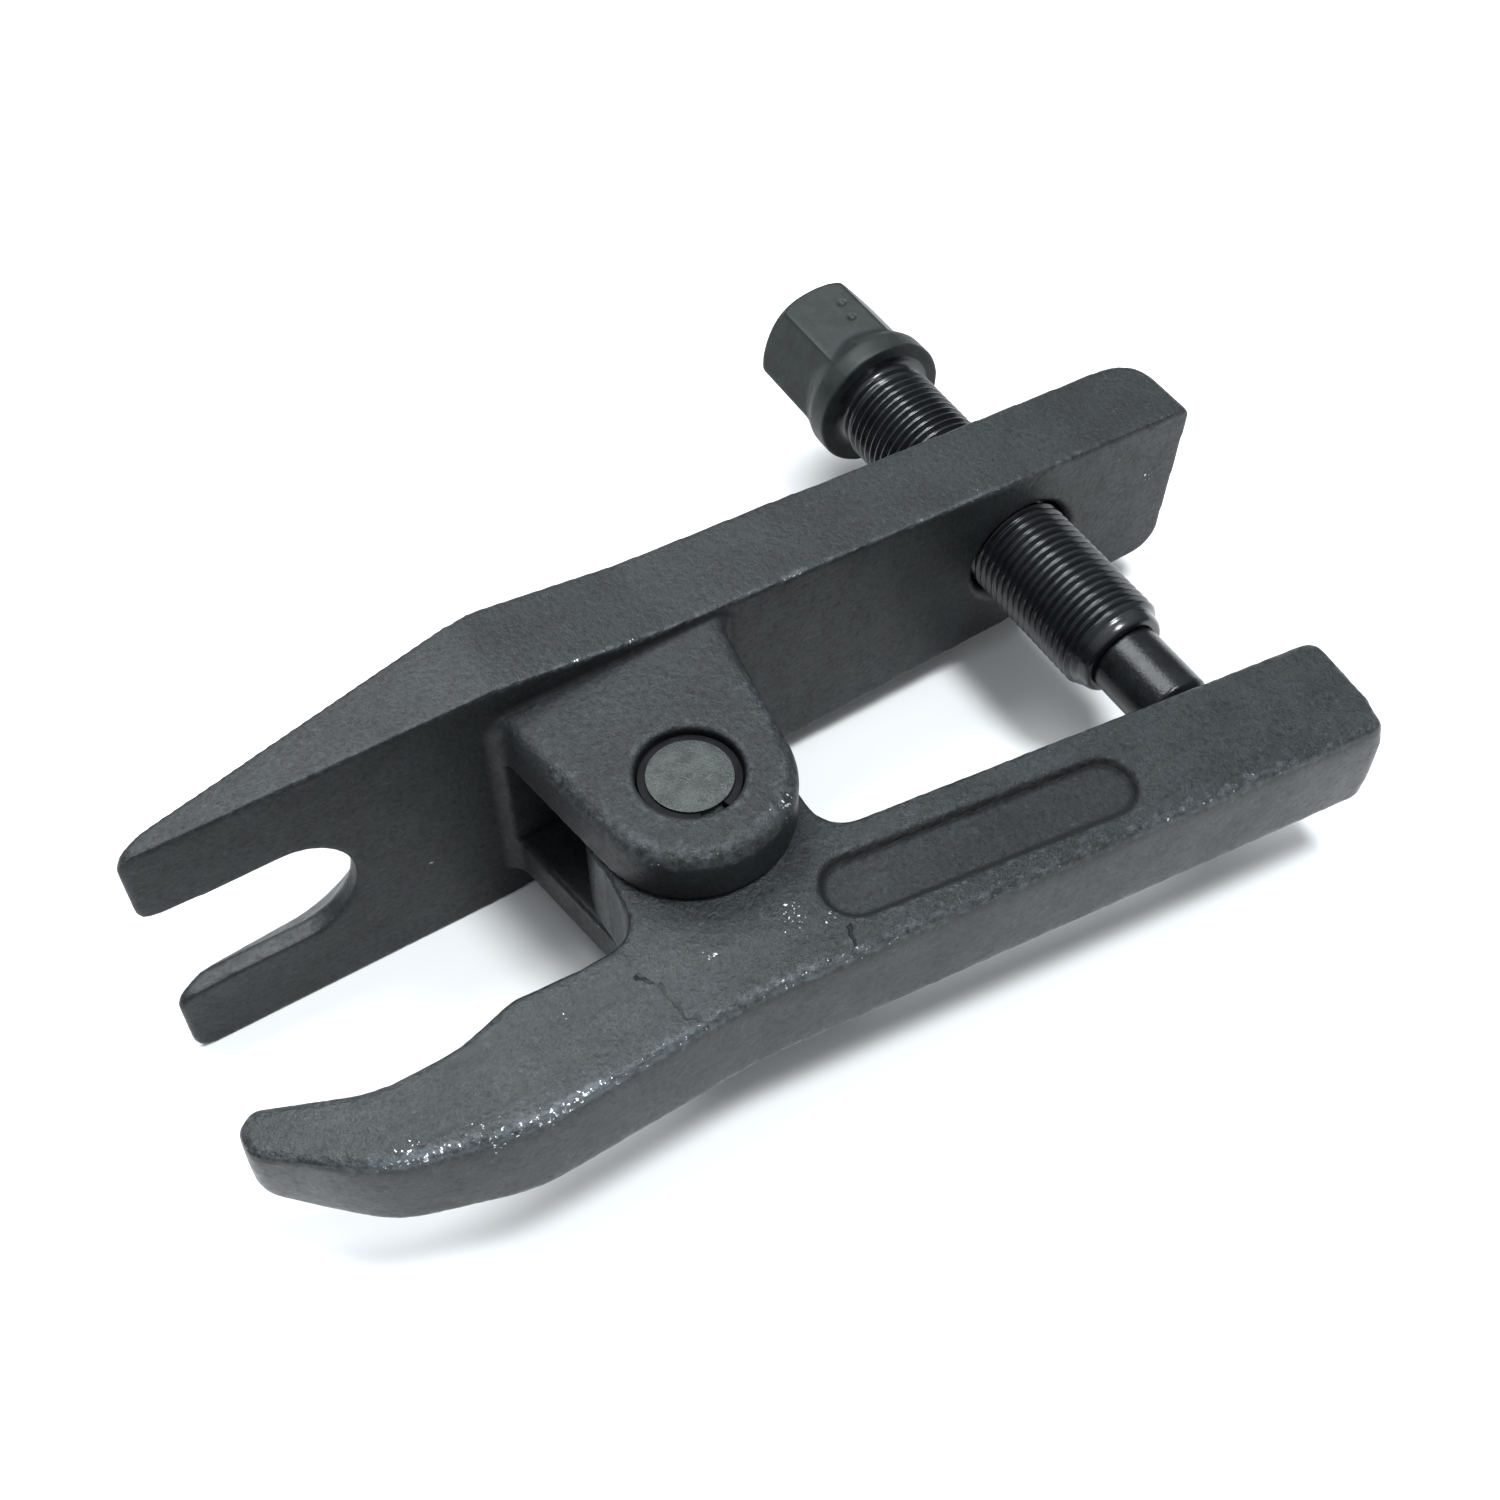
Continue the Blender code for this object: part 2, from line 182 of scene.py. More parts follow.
def prism(name, outline, low, high, lie="plan", top=None):
    """An outline extruded along z in plan, along y in elevation, and along x in section.

    With another outline on top, of as many points, its sides slope.
    """
    order = {"plan": (0, 1, 2), "elevation": (0, 2, 1), "section": (2, 1, 0)}[lie]
    verts = []
    for level, ring in ((low, outline), (high, top or outline)):
        for x, y in ring:
            point = (x, y, level)
            verts.append(tuple(point[k] for k in order))
    n = len(outline)
    faces = [tuple(range(n)), tuple(range(2 * n - 1, n - 1, -1))]
    faces += [(k, k + n, (k + 1) % n + n, (k + 1) % n) for k in range(n)]
    return mesh_object(name, verts, faces)


def lathe(name, profile, x=None, axis="y", steps=96):
    """A profile of (radius, height) turned round an axis along y at x, or along z at 0."""
    x = SCREW_X if x is None else x
    verts, faces = [], []
    for k in range(steps):
        angle = 2 * math.pi * k / steps
        for r, h in profile:
            a, b = r * math.sin(angle), r * math.cos(angle)
            verts.append((x + a, h, b) if axis == "y" else (x + a, -b, h))
    n = len(profile)
    for k in range(steps):
        here, after = k * n, (k + 1) % steps * n
        faces += [(here + j, here + j + 1, after + j + 1, after + j) for j in range(n - 1)]
    return mesh_object(name, verts, faces)


def settle(obj):
    """The object with its modifiers applied."""
    graph = bpy.context.evaluated_depsgraph_get()
    mesh = bpy.data.meshes.new_from_object(obj.evaluated_get(graph))
    obj.modifiers.clear()
    obj.data = mesh
    return obj


def combine(body, other, operation):
    """Cuts or joins a closed mesh with another, which is used up."""
    step = body.modifiers.new("combine", "BOOLEAN")
    step.operation, step.solver, step.object = operation, "EXACT", other
    settle(body)
    bpy.data.objects.remove(other, do_unlink=True)
    bm = bmesh.new()
    bm.from_mesh(body.data)
    bmesh.ops.remove_doubles(bm, verts=bm.verts, dist=1e-4)
    bmesh.ops.dissolve_limit(bm, angle_limit=math.radians(0.3), verts=bm.verts, edges=bm.edges)
    bm.to_mesh(body.data)
    bm.free()


def bevel(obj, width, segments, angle_deg):
    """Rounds the edges that turn by more than the angle."""
    step = obj.modifiers.new("bevel", "BEVEL")
    step.width, step.segments = width, segments
    step.limit_method, step.angle_limit = "ANGLE", math.radians(angle_deg)
    step.use_clamp_overlap = True
    return settle(obj)


# --- Forging skin ----------------------------------------------------------------------
def noise(points, size, seed):
    """Smooth gradient noise of about -1 to 1 at the points, with features of that size."""
    rng = np.random.default_rng(seed)
    slopes = rng.normal(size=(256, 3))
    slopes /= np.linalg.norm(slopes, axis=1)[:, None]
    table = rng.permutation(256)
    spot = points / size
    cell = np.floor(spot).astype(int)
    part = spot - cell
    fade = part**3 * (part * (part * 6 - 15) + 10)
    total = np.zeros(len(points))
    for corner in itertools.product((0, 1), repeat=3):
        key = 0
        for k in range(3):
            key = table[(key + cell[:, k] + corner[k]) & 255]
        weight = np.prod(np.where(corner, fade, 1 - fade), axis=1)
        total += weight * ((part - corner) * slopes[key]).sum(1)
    return total * 1.6


def step_up(value, start, end):
    """0 up to start, 1 from end on, and a soft step between them."""
    t = np.clip((value - start) / (end - start), 0, 1)
    return t * t * (3 - 2 * t)


class Skin:
    """A remeshed forging as arrays: points, normals and how convex each point lies."""

    def __init__(self, obj):
        exact = bpy.data.objects.new("exact", obj.data.copy())
        bpy.context.scene.collection.objects.link(exact)
        step = obj.modifiers.new("remesh", "REMESH")
        step.mode, step.voxel_size, step.adaptivity = "VOXEL", VOXEL, 0.0
        wrap = obj.modifiers.new("wrap", "SHRINKWRAP")
        wrap.wrap_method, wrap.target = "NEAREST_SURFACEPOINT", exact
        self.obj = settle(obj)
        bpy.data.objects.remove(exact, do_unlink=True)
        mesh = self.obj.data
        count = len(mesh.vertices)
        self.points = np.zeros(count * 3)
        mesh.vertices.foreach_get("co", self.points)
        self.points = self.points.reshape(-1, 3)
        edges = np.zeros(len(mesh.edges) * 2, int)
        mesh.edges.foreach_get("vertices", edges)
        edges = edges.reshape(-1, 2)
        self.ends = np.concatenate([edges[:, 0], edges[:, 1]])
        self.starts = np.concatenate([edges[:, 1], edges[:, 0]])
        self.valence = np.bincount(self.ends, minlength=count).clip(1)
        self.smooth(4)
        self.refresh()
        bend = -((self.average(self.points) - self.points) * self.normals).sum(1)
        for _ in range(3):
            bend = 0.5 * bend + 0.5 * self.average(bend[:, None])[:, 0]
        self.bend = bend
        # evens out the notches that the grid leaves along an edge
        self.smooth(8, np.clip(bend / SOFT, 0, 1))
        self.refresh()

    def average(self, values):
        """The mean of each point's neighbours, column by column."""
        columns = [
            np.bincount(self.ends, weights=values[self.starts, k], minlength=len(self.valence))
            for k in range(values.shape[1])
        ]
        return np.stack(columns, 1) / self.valence[:, None]

    def smooth(self, rounds, where=None):
        """Evens the points out without shrinking, or with it where a weight is given."""
        for k in range(rounds):
            push = 0.5 if k % 2 == 0 or where is not None else -0.52
            step = push * (self.average(self.points) - self.points)
            self.points = self.points + (step if where is None else step * where[:, None])

    def rim(self, rounds, sharp):
        """0 to 1 on and beside the convex edges, wider with more rounds."""
        bend = self.bend.clip(0, None)[:, None]
        for _ in range(rounds):
            bend = 0.5 * bend + 0.5 * self.average(bend)
        return np.clip(bend[:, 0] / sharp, 0, 1)

    def refresh(self):
        """Puts the points into the mesh and reads the normals again."""
        mesh = self.obj.data
        mesh.vertices.foreach_set("co", self.points.astype(np.float32).ravel())
        mesh.update()
        normals = np.zeros(len(mesh.vertices) * 3)
        mesh.vertex_normals.foreach_get("vector", normals)
        self.normals = normals.reshape(-1, 3)

    def move(self, amount):
        """Moves each point along its normal."""
        self.points = self.points + self.normals * amount[:, None]
        self.refresh()

    def write(self, name, values):
        """Stores a value for each point, which a material reads by its name."""
        attribute = self.obj.data.attributes.new(name, "FLOAT", "POINT")
        attribute.data.foreach_set("value", values.astype(np.float32))


def scuffed(points, spots):
    """How near each point lies to the middle of a scuffed spot, from 0 to 1."""
    near = [np.exp(-(((points - spot) ** 2).sum(1)) / size**2) for spot, size in spots]
    return np.maximum.reduce(near)


def thin_out(obj):
    """Decimates a mesh that has too many triangles."""
    triangles = sum(len(p.vertices) - 2 for p in obj.data.polygons)
    if triangles > MAX_TRIANGLES:
        step = obj.modifiers.new("thin", "DECIMATE")
        step.ratio = MAX_TRIANGLES / triangles
        settle(obj)
    return obj


def place(obj, body, slot, look, *nodes):
    """Puts a finished mesh into the row frame, on its body, in place of its CAD nodes."""
    obj.data.transform(Matrix.Translation(PIVOT) @ Matrix.Scale(0.001, 4))
    obj.data.shade_smooth()
    obj.data.materials.clear()
    obj.data.materials.append(look)
    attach(obj, body)
    if nodes:
        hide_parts(*nodes)


# --- Materials -------------------------------------------------------------------------
def shade(colour, factor):
    """A darker or lighter colour of the same hue."""
    return tuple(factor * c for c in colour)


class Look:
    """A Principled material, with short helpers for the nodes that drive it."""

    def __init__(self, name):
        self.material = bpy.data.materials.new(name)
        self.material.use_nodes = True
        self.tree = self.material.node_tree
        self.shader = self.tree.nodes["Principled BSDF"]
        self.spot = self.tree.nodes.new("ShaderNodeTexCoord").outputs["Object"]

    def set(self, **values):
        for name, value in values.items():
            self.shader.inputs[name.replace("_", " ")].default_value = value

    def link(self, source, target):
        self.tree.links.new(source, target)

    def noise(self, size_mm, detail=3.0, rough=0.55, stretch=None):
        """Noise of 0 to 1 with features of about that size."""
        node = self.tree.nodes.new("ShaderNodeTexNoise")
        node.inputs["Scale"].default_value = 1000.0 / size_mm
        node.inputs["Detail"].default_value = detail
        node.inputs["Roughness"].default_value = rough
        spot = self.spot
        if stretch:
            mapping = self.tree.nodes.new("ShaderNodeMapping")
            mapping.inputs["Scale"].default_value = stretch
            self.link(spot, mapping.inputs["Vector"])
            spot = mapping.outputs["Vector"]
        self.link(spot, node.inputs["Vector"])
        return node.outputs["Fac"]

    def attribute(self, name):
        node = self.tree.nodes.new("ShaderNodeAttribute")
        node.attribute_name = name
        return node.outputs["Fac"]

    def math(self, operation, a, b):
        node = self.tree.nodes.new("ShaderNodeMath")
        node.operation = operation
        for socket, value in zip(node.inputs, (a, b)):
            if isinstance(value, (int, float)):
                socket.default_value = value
            else:
                self.link(value, socket)
        return node.outputs[0]

    def spread(self, source, low, high, to_low=0.0, to_high=1.0, smooth=False):
        """Maps low and high to two other values, and stays between those."""
        node = self.tree.nodes.new("ShaderNodeMapRange")
        node.interpolation_type = "SMOOTHSTEP" if smooth else "LINEAR"
        for name, value in (
            ("From Min", low), ("From Max", high), ("To Min", to_low), ("To Max", to_high)
        ):
            node.inputs[name].default_value = value
        self.link(source, node.inputs["Value"])
        return node.outputs["Result"]

    def mix(self, share, a, b):
        """From colour a at share 0 to colour b at share 1."""
        node = self.tree.nodes.new("ShaderNodeMix")
        node.data_type = "RGBA"
        self.link(share, node.inputs["Factor"])
        for socket, value in ((node.inputs[6], a), (node.inputs[7], b)):
            if isinstance(value, tuple):
                socket.default_value = (*value, 1.0)
            else:
                self.link(value, socket)
        return node.outputs[2]

    def bump(self, height, depth_mm, after=None):
        """A normal for a height of 0 to 1, on top of an earlier normal if one is given."""
        node = self.tree.nodes.new("ShaderNodeBump")
        node.inputs["Strength"].default_value = 1.0
        node.inputs["Distance"].default_value = depth_mm / 1000
        self.link(height, node.inputs["Height"])
        if after is not None:
            self.link(after, node.inputs["Normal"])
        return node.outputs["Normal"]

    def vector(self, operation, a, b, output=0):
        node = self.tree.nodes.new("ShaderNodeVectorMath")
        node.operation = operation
        for socket, value in zip(node.inputs, (a, b)):
            if isinstance(value, Vector):
                socket.default_value = value
            else:
                self.link(value, socket)
        return node.outputs[output]

    def near_line(self, start, end, width_mm):
        """0 beside a wavering hairline between two points of the lever's face, more on it."""
        start = PIVOT + Vector((*start, LEVER_HALF)) / 1000
        along = PIVOT + Vector((*end, LEVER_HALF)) / 1000 - start
        waver = self.spread(self.noise(3.0, 3.0, 0.6), 0.3, 0.7, -0.0005, 0.0005)
        shift = self.tree.nodes.new("ShaderNodeCombineXYZ")
        for socket in shift.inputs[:2]:
            self.link(waver, socket)
        spot = self.vector("SUBTRACT", self.vector("ADD", self.spot, shift.outputs[0]), start)
        share = self.vector("DOT_PRODUCT", spot, along / along.length_squared, 1)
        share = self.math("MINIMUM", self.math("MAXIMUM", share, 0.0), 1.0)
        nearest = self.tree.nodes.new("ShaderNodeVectorMath")
        nearest.operation = "SCALE"
        nearest.inputs[0].default_value = along
        self.link(share, nearest.inputs["Scale"])
        off = self.vector("DISTANCE", spot, nearest.outputs[0], 1)
        return self.spread(off, width_mm / 1000, width_mm / 2500, 0.0, 0.75)

    def finish(self, colour=None, roughness=None, metallic=None, normal=None):
        for name, source in (
            ("Base Color", colour), ("Roughness", roughness),
            ("Metallic", metallic), ("Normal", normal),
        ):
            if source is not None:
                self.link(source, self.shader.inputs[name])
        return self.material


BARE_STEEL = (0.62, 0.63, 0.635)


def forged_look(name, dark, light, roughness, grain_mm, grain_depth, fine_depth, cracks=()):
    """Black phosphate on forged steel: mottled, grainy, and worn to metal on its edges, with a
    painted sheen along the worn edges and painted shade in the concave corners and the recess.
    """
    look = Look(name)
    patch = look.spread(look.noise(14.0, 4.0, 0.6), 0.35, 0.65, smooth=True)
    colour = look.mix(patch, dark, light)
    grain = look.noise(grain_mm, 5.0, 0.66)
    fine = look.noise(0.42, 3.0, 0.7)
    relief = look.attribute("relief")
    pits = look.spread(grain, 0.5, 0.34, 0.0, 0.7)
    colour = look.mix(pits, colour, shade(dark, 0.3))
    specks = look.spread(fine, 0.55, 0.75, 0.0, 0.6)
    colour = look.mix(specks, colour, shade(light, 2.6))
    wear_and_sheen, shaded_hollow = look.attribute("wear_and_sheen"), look.attribute("shaded_hollow")
    worst = look.math("MAXIMUM", wear_and_sheen, look.attribute("scuff"))
    flake = look.noise(0.62, 3.0, 0.6)
    chipped = look.spread(look.math("ADD", look.math("MULTIPLY", worst, 0.22), flake), 0.8, 0.835)
    # the band lightens the colour along the worn edges: partly worn-through finish, partly a
    # painted sheen
    broad = look.math("ADD", look.math("MULTIPLY", wear_and_sheen, 0.42), look.noise(1.2, 4.0, 0.65))
    rubbed_and_sheen = look.spread(broad, 0.6, 0.93, 0.0, 0.85)
    colour = look.mix(rubbed_and_sheen, colour, shade(light, 3.6))
    colour = look.mix(chipped, colour, BARE_STEEL)
    # painted shade darkens the concave corners and the recess
    colour = look.mix(look.math("MULTIPLY", shaded_hollow, 0.9), colour, shade(dark, 0.15))
    uneven = look.noise(5.0, 4.0, 0.6)
    rough = look.spread(uneven, 0.3, 0.7, roughness - 0.06, roughness + 0.07)
    rough = look.math("ADD", rough, look.math("MULTIPLY", shaded_hollow, 0.4))
    rough = look.math("SUBTRACT", rough, look.math("MULTIPLY", rubbed_and_sheen, 0.15))
    rough = look.math("ADD", rough, look.spread(grain, 0.35, 0.65, 0.06, -0.06))
    metal = look.math("MULTIPLY", chipped, 0.9)
    normal = look.bump(look.math("MULTIPLY", grain, relief), grain_depth)
    normal = look.bump(look.math("MULTIPLY", fine, relief), fine_depth, normal)
    if cracks:
        cracked = 0.0
        for ends in cracks:
            cracked = look.math("MAXIMUM", look.near_line(*ends), cracked)
        colour = look.mix(cracked, colour, shade(dark, 0.1))
        rough = look.math("ADD", rough, look.math("MULTIPLY", cracked, 0.4))
        normal = look.bump(look.math("SUBTRACT", 1.0, cracked), 0.3, normal)
    look.set(Specular_IOR_Level=0.26)
    return look.finish(colour, rough, metal, normal)


def satin_look(name, dark, light, roughness, metallic, scratch_depth, specular, patch_mm=4.0):
    """Machined steel, blackened or bare, with a faint mottle and fine scratches."""
    look = Look(name)
    look.set(Specular_IOR_Level=specular, Metallic=metallic)
    patch = look.noise(patch_mm, 5.0, 0.65)
    colour = look.mix(look.spread(patch, 0.35, 0.65, smooth=True), dark, light)
    scratch = look.noise(0.5, 3.0, 0.65, stretch=(1.0, 5.0, 1.0))
    colour = look.mix(look.spread(scratch, 0.56, 0.68, 0.0, 0.5), colour, shade(light, 2.2))
    rough = look.spread(look.noise(1.2, 3.0, 0.6), 0.3, 0.7, *roughness)
    normal = look.bump(look.noise(0.35, 2.0, 0.6), scratch_depth)
    return look.finish(colour, rough, None, normal)


fork_look = forged_look(
    "black_forging_fork", (0.0085, 0.0098, 0.0106), (0.0135, 0.0155, 0.0166), 0.45,
    grain_mm=0.9, grain_depth=0.3, fine_depth=0.1
)
lever_look = forged_look(
    "black_forging_lever", (0.0115, 0.0135, 0.0146), (0.0195, 0.0225, 0.024), 0.335,
    grain_mm=1.0, grain_depth=0.32, fine_depth=0.1, cracks=CRACKS
)
screw_look = satin_look(
    "oiled_black_screw", (0.004, 0.0045, 0.0052), (0.008, 0.009, 0.0105), (0.15, 0.23),
    metallic=0.0, scratch_depth=0.006, specular=0.44
)
head_look = satin_look(
    "black_oxide_head", (0.007, 0.0088, 0.0085), (0.0125, 0.0155, 0.0148), (0.4, 0.52),
    metallic=0.0, scratch_depth=0.014, specular=0.19
)
nose_look = satin_look(
    "polished_black_nose", (0.003, 0.0033, 0.0037), (0.007, 0.0078, 0.0085), (0.15, 0.27),
    metallic=0.0, scratch_depth=0.05, specular=0.22
)
pin_look = satin_look(
    "turned_pin", (0.02, 0.0245, 0.0225), (0.04, 0.0465, 0.043), (0.42, 0.6),
    metallic=0.25, scratch_depth=0.2, specular=0.3, patch_mm=2.6
)
ring_look = satin_look(
    "black_spring_ring", (0.003, 0.003, 0.0035), (0.005, 0.005, 0.006), (0.5, 0.6),
    metallic=0.0, scratch_depth=0.004, specular=0.06
)


# --- Fork arm --------------------------------------------------------------------------
def make_fork_arm():
    """The plate as plan and elevation cut it, its slot relieved behind, with ears and bores."""
    plan = rounded([
        (FORK_TIP_X, FRONT_Y, 0.8), (TAIL_X, FRONT_Y, 0.0), (TAIL_X, BACK_Y - 0.8, 8.5),
        (-14.0, BACK_Y, 20.0), (-70.0, 26.6, 6.0), (FORK_TIP_X, 24.4, 1.0),
    ])
    slot_end = [(x, y, 0.0) for x, y in arc(SLOT_END_X, 0, SLOT_HALF, 87, -87, 58)]
    elevation = rounded([
        (FORK_TIP_X, -FORK_HALF, 3.0), (-18.0, -FORK_HALF, 30.0), (10.0, -21.2, 60.0),
        (TAIL_X - 1.6, -TAIL_HALF, 5.0), (TAIL_X, TAIL_HALF, 2.0), (10.0, 21.2, 60.0),
        (-18.0, FORK_HALF, 30.0), (FORK_TIP_X, FORK_HALF, 3.0),
        (FORK_TIP_X, SLOT_HALF + 0.6, 2.5), (-66.0, SLOT_HALF, 0.0),
        (SLOT_END_X, SLOT_HALF, 0.0), *slot_end, (SLOT_END_X, -SLOT_HALF, 0.0),
        (-66.0, -SLOT_HALF, 0.0), (FORK_TIP_X, -SLOT_HALF - 0.6, 2.5),
    ])
    arm = prism("fork_arm_forging", plan, -30, 30)
    combine(arm, prism("cutter", elevation, 10, 50, "elevation"), "INTERSECT")
    spread, low = BACK_Y - RELIEF_Y + 3, RELIEF_Y - 1
    wedge = [
        (SLOT_HALF - 1, low), (SLOT_HALF + spread, RELIEF_Y + spread),
        (-SLOT_HALF - spread, RELIEF_Y + spread), (1 - SLOT_HALF, low),
    ]
    relief = [(0, low), *wedge[:2], (0, RELIEF_Y + spread)]
    combine(arm, lathe("cutter", relief, x=SLOT_END_X), "DIFFERENCE")
    combine(arm, prism("cutter", wedge, FORK_TIP_X - 20, SLOT_END_X, "section"), "DIFFERENCE")
    bevel(arm, PLATE_EDGE, 3, 35)

    draft = math.radians(EAR_DRAFT_DEG)
    flare_y = FRONT_Y - 3.4
    flare_x = -(EAR_R + 3.5) / math.cos(draft) - flare_y * math.tan(draft)
    side = [(-30.0, 33.0), (-30.0, FRONT_Y + 0.1)]
    side += arc(flare_x, flare_y, 3.5, 90, EAR_DRAFT_DEG, 16)
    ear_plan = side + arc(0, 0, EAR_R, 180 + EAR_DRAFT_DEG, 360 - EAR_DRAFT_DEG, 60)
    ear_plan += [(-x, y) for x, y in reversed(side)]
    clevis = bevel(prism("clevis", ear_plan, -EAR_OUTER, EAR_OUTER), EAR_EDGE, 7, 60)
    gap = [(-40, -30), (40, -30), (40, CLEVIS_FLOOR_Y), (-40, CLEVIS_FLOOR_Y)]
    combine(clevis, prism("cutter", gap, -EAR_INNER, EAR_INNER), "DIFFERENCE")
    combine(arm, clevis, "UNION")

    combine(arm, lathe("cutter", PIVOT_BORE, 0, "z"), "DIFFERENCE")
    for low, high in ((COUNTERBORE_FLOOR, 30), (-30, -COUNTERBORE_FLOOR)):
        counterbore = [(0, low), (COUNTERBORE_R, low), (COUNTERBORE_R, high), (0, high)]
        combine(arm, lathe("cutter", counterbore, 0, "z"), "DIFFERENCE")
    combine(arm, lathe("cutter", [
        (0, 10), (THREAD_BORE_R + 14.2, 10), (THREAD_BORE_R, FRONT_Y + 1.2),
        (THREAD_BORE_R, BACK_Y - 1.8), (THREAD_BORE_R + 14.2, 52.4), (0, 52.4),
    ]), "DIFFERENCE")
    return arm


def skin_fork_arm(arm):
    """Adds grain, worn edges and a painted sheen on the ears' front rims, apart from bores and the
    inside of the clevis, and painted shade in the concave corners.
    """
    skin = Skin(arm)
    p, n = skin.points, skin.normals
    x, y, z = p.T
    on_ear = step_up(FRONT_Y - y, 0.2, 1.5)
    ear_top = on_ear * step_up(np.abs(z), EAR_OUTER - 1.8, EAR_OUTER - 0.6)
    near_bore = 1 - step_up(np.abs(np.hypot(x, y) - COUNTERBORE_R), 0.4, 1.0)
    hole = 1 - step_up(np.hypot(x - SCREW_X, z) - THREAD_BORE_R, 1.0, 2.5)
    inner = on_ear * (np.abs(z) < EAR_INNER + 0.8)
    free = (1 - np.maximum(near_bore, hole)) * (1 - inner)
    edge = np.clip(skin.bend / SHARP, 0, 1)
    # the long edges between the working face and the two narrow sides are the worn ones
    aside = step_up(np.abs(z), SLOT_HALF + 3, SLOT_HALF + 5)
    front = (1 - step_up(np.abs(y - FRONT_Y), 1.2, 2.2)) * aside
    along = step_up(x, -72, -50) * (1 - step_up(x, 74, 100))
    grain = 0.02 * noise(p, 1.5, 11) + 0.035 * noise(p, 0.95, 12)
    amount = free * grain * (0.3 + 1.9 * ear_top)
    amount += free * 0.03 * noise(p, 10.0, 13)
    amount -= free * edge * (0.02 + 0.11 * front * along) * np.clip(noise(p, 1.3, 14) + 0.2, 0, 1)
    skin.move(amount)
    # a painted sheen on the ears' front rims, added to the worn edges
    ear_rim_sheen = on_ear * (y < 12) * skin.rim(8, 0.018) * (n[:, 2] > 0.1)
    wear_and_sheen = edge * (0.25 + 0.75 * front * along) * (0.7 + 0.5 * noise(p, 14.0, 15))
    wear_and_sheen += 0.75 * ear_rim_sheen * (0.75 + 0.4 * noise(p, 9.0, 16))
    skin.write("wear_and_sheen", np.clip(wear_and_sheen, 0, 1) * free)
    skin.write("scuff", scuffed(p, WORN_FORK))
    # the concave corners get painted shade
    skin.write("shaded_hollow", np.clip(-skin.bend / SHARP, 0, 1))
    side = aside * (np.abs(n[:, 2]) > 0.6) * (1 - on_ear)
    skin.write("relief", (0.25 + 0.75 * ear_top + 0.35 * side).clip(0, 1))
    return thin_out(skin.obj)


fork_arm = skin_fork_arm(make_fork_arm())
place(fork_arm, "fork", "fork_arm", fork_look, "fork_arm")


# --- Lever arm -------------------------------------------------------------------------
def make_lever_arm():
    """The lever as its plan cuts it, thinner towards the jaw, with bore and recess."""
    outline = arc(0, 0, HUB_R, -8, 188, 66) + rounded([
        (-15.6, -2.2, 0.0), (-16.9, -14.0, 7.5), (-26.5, -14.3, 0.0), (-36.8, -13.7, 3.0),
        (-46.5, -16.4, 20.0), (-58.5, -16.0, 22.0), (-73.0, -9.6, 1.0), (-75.7, -11.2, 1.6),
        (-76.1, -15.4, 3.0), (-62.8, -26.5, 26.0), (-44.0, -32.3, 30.0), (-8.0, -31.3, 90.0),
        (97.9, -41.5, 1.8), (99.4, -22.65, 2.6), (14.9, -12.85, 8.0), (15.6, -2.2, 0.0),
    ])[1:-1]
    lever = prism("lever_arm_forging", outline, -LEVER_HALF, LEVER_HALF)
    for vertex in lever.data.vertices:
        beyond = JAW_TAPER_FROM_X - vertex.co.x
        if beyond > 0:
            vertex.co.z *= 1 - JAW_TAPER * beyond / LEVER_HALF
    bevel(lever, LEVER_EDGE, 3, 50)
    combine(lever, lathe("cutter", PIVOT_BORE, 0, "z"), "DIFFERENCE")
    floor = recess_outline(RECESS_FLOOR_R)
    above = recess_outline(2 * RECESS_RIM_R - RECESS_FLOOR_R)
    low, high = LEVER_HALF - RECESS_DEPTH, LEVER_HALF + RECESS_DEPTH
    combine(lever, prism("cutter", floor, low, high, top=above), "DIFFERENCE")
    return lever


def recess_outline(radius):
    """A long round-ended outline on the middle line of the recess."""
    return arc(*RECESS_START, radius, 83, 263, 40) + arc(*RECESS_END, radius, -97, 83, 40)


